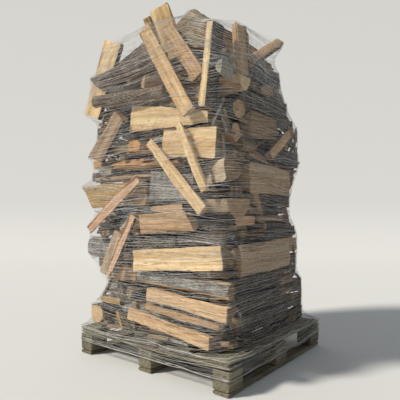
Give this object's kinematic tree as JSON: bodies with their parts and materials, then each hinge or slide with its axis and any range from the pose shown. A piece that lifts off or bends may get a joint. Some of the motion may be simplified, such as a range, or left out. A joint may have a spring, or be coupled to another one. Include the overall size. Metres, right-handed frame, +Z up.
{
  "type": "firewood pallet",
  "caption": "Split firewood logs piled high on a wooden block pallet and held together by a stretched knitted net wrap that is open at the top.",
  "frame": {"origin": "centre of the pallet's underside, on the middle bottom board", "axes": "+Z up, the front face looks along -Y, +X to the right; deck boards run along Y"},
  "size_m": [1.1428, 0.9584, 1.8914],
  "materials": {
    "pallet_wood": "rough sawn, weathered grey-brown",
    "cream_wood": "freshly split, pale",
    "tan_wood": "split, slightly aged",
    "pink_wood": "split, pinkish heartwood",
    "ochre_wood": "sawn end grain, ochre",
    "orange_wood": "sawn end grain, orange-brown",
    "brown_wood": "split, darkened",
    "silver_bark": "rough silvery grey bark",
    "dark_bark": "rough dark grey-brown bark",
    "packed_wood": "mixed split wood and bark in shade",
    "net_yarn": "knitted white plastic net"
  },
  "bodies": {
    "root": {"bottom_board_1": "pallet_wood", "bottom_board_2": "pallet_wood", "bottom_board_3": "pallet_wood", "pallet_block_1": "pallet_wood", "pallet_block_2": "pallet_wood", "pallet_block_3": "pallet_wood", "pallet_block_4": "pallet_wood", "pallet_block_5": "pallet_wood", "pallet_block_6": "pallet_wood", "pallet_block_7": "pallet_wood", "pallet_block_8": "pallet_wood", "pallet_block_9": "pallet_wood", "stringer_board_1": "pallet_wood", "stringer_board_2": "pallet_wood", "stringer_board_3": "pallet_wood", "deck_board_1": "pallet_wood", "deck_board_2": "pallet_wood", "deck_board_3": "pallet_wood", "deck_board_4": "pallet_wood", "deck_board_5": "pallet_wood", "front_log_1": "cream_wood", "front_log_2": "cream_wood", "front_log_3": "cream_wood", "front_log_4": "pink_wood", "front_log_5": "pink_wood", "front_log_6": "cream_wood", "front_log_7": "silver_bark", "front_log_8": "pink_wood", "front_log_9": "tan_wood", "front_log_10": "cream_wood", "front_log_11": "dark_bark", "front_log_12": "dark_bark", "front_log_13": "tan_wood", "front_log_14": "orange_wood", "front_log_15": "tan_wood", "front_log_16": "cream_wood", "front_log_17": "cream_wood", "front_log_18": "cream_wood", "front_log_19": "brown_wood", "front_log_20": "tan_wood", "front_log_21": "orange_wood", "front_log_22": "tan_wood", "front_log_23": "tan_wood", "front_log_24": "dark_bark", "front_log_25": "tan_wood", "front_log_26": "ochre_wood", "top_log_1": "ochre_wood", "top_log_2": "tan_wood", "top_log_3": "ochre_wood", "right_log_1": "tan_wood", "right_log_2": "tan_wood", "right_log_3": "tan_wood", "right_log_4": "brown_wood", "right_log_5": "brown_wood", "right_log_6": "brown_wood", "right_log_7": "tan_wood", "right_log_8": "tan_wood", "packed_logs_1": "packed_wood", "packed_logs_2": "packed_wood", "net_wrap": "net_yarn"}
  },
  "joints": []
}
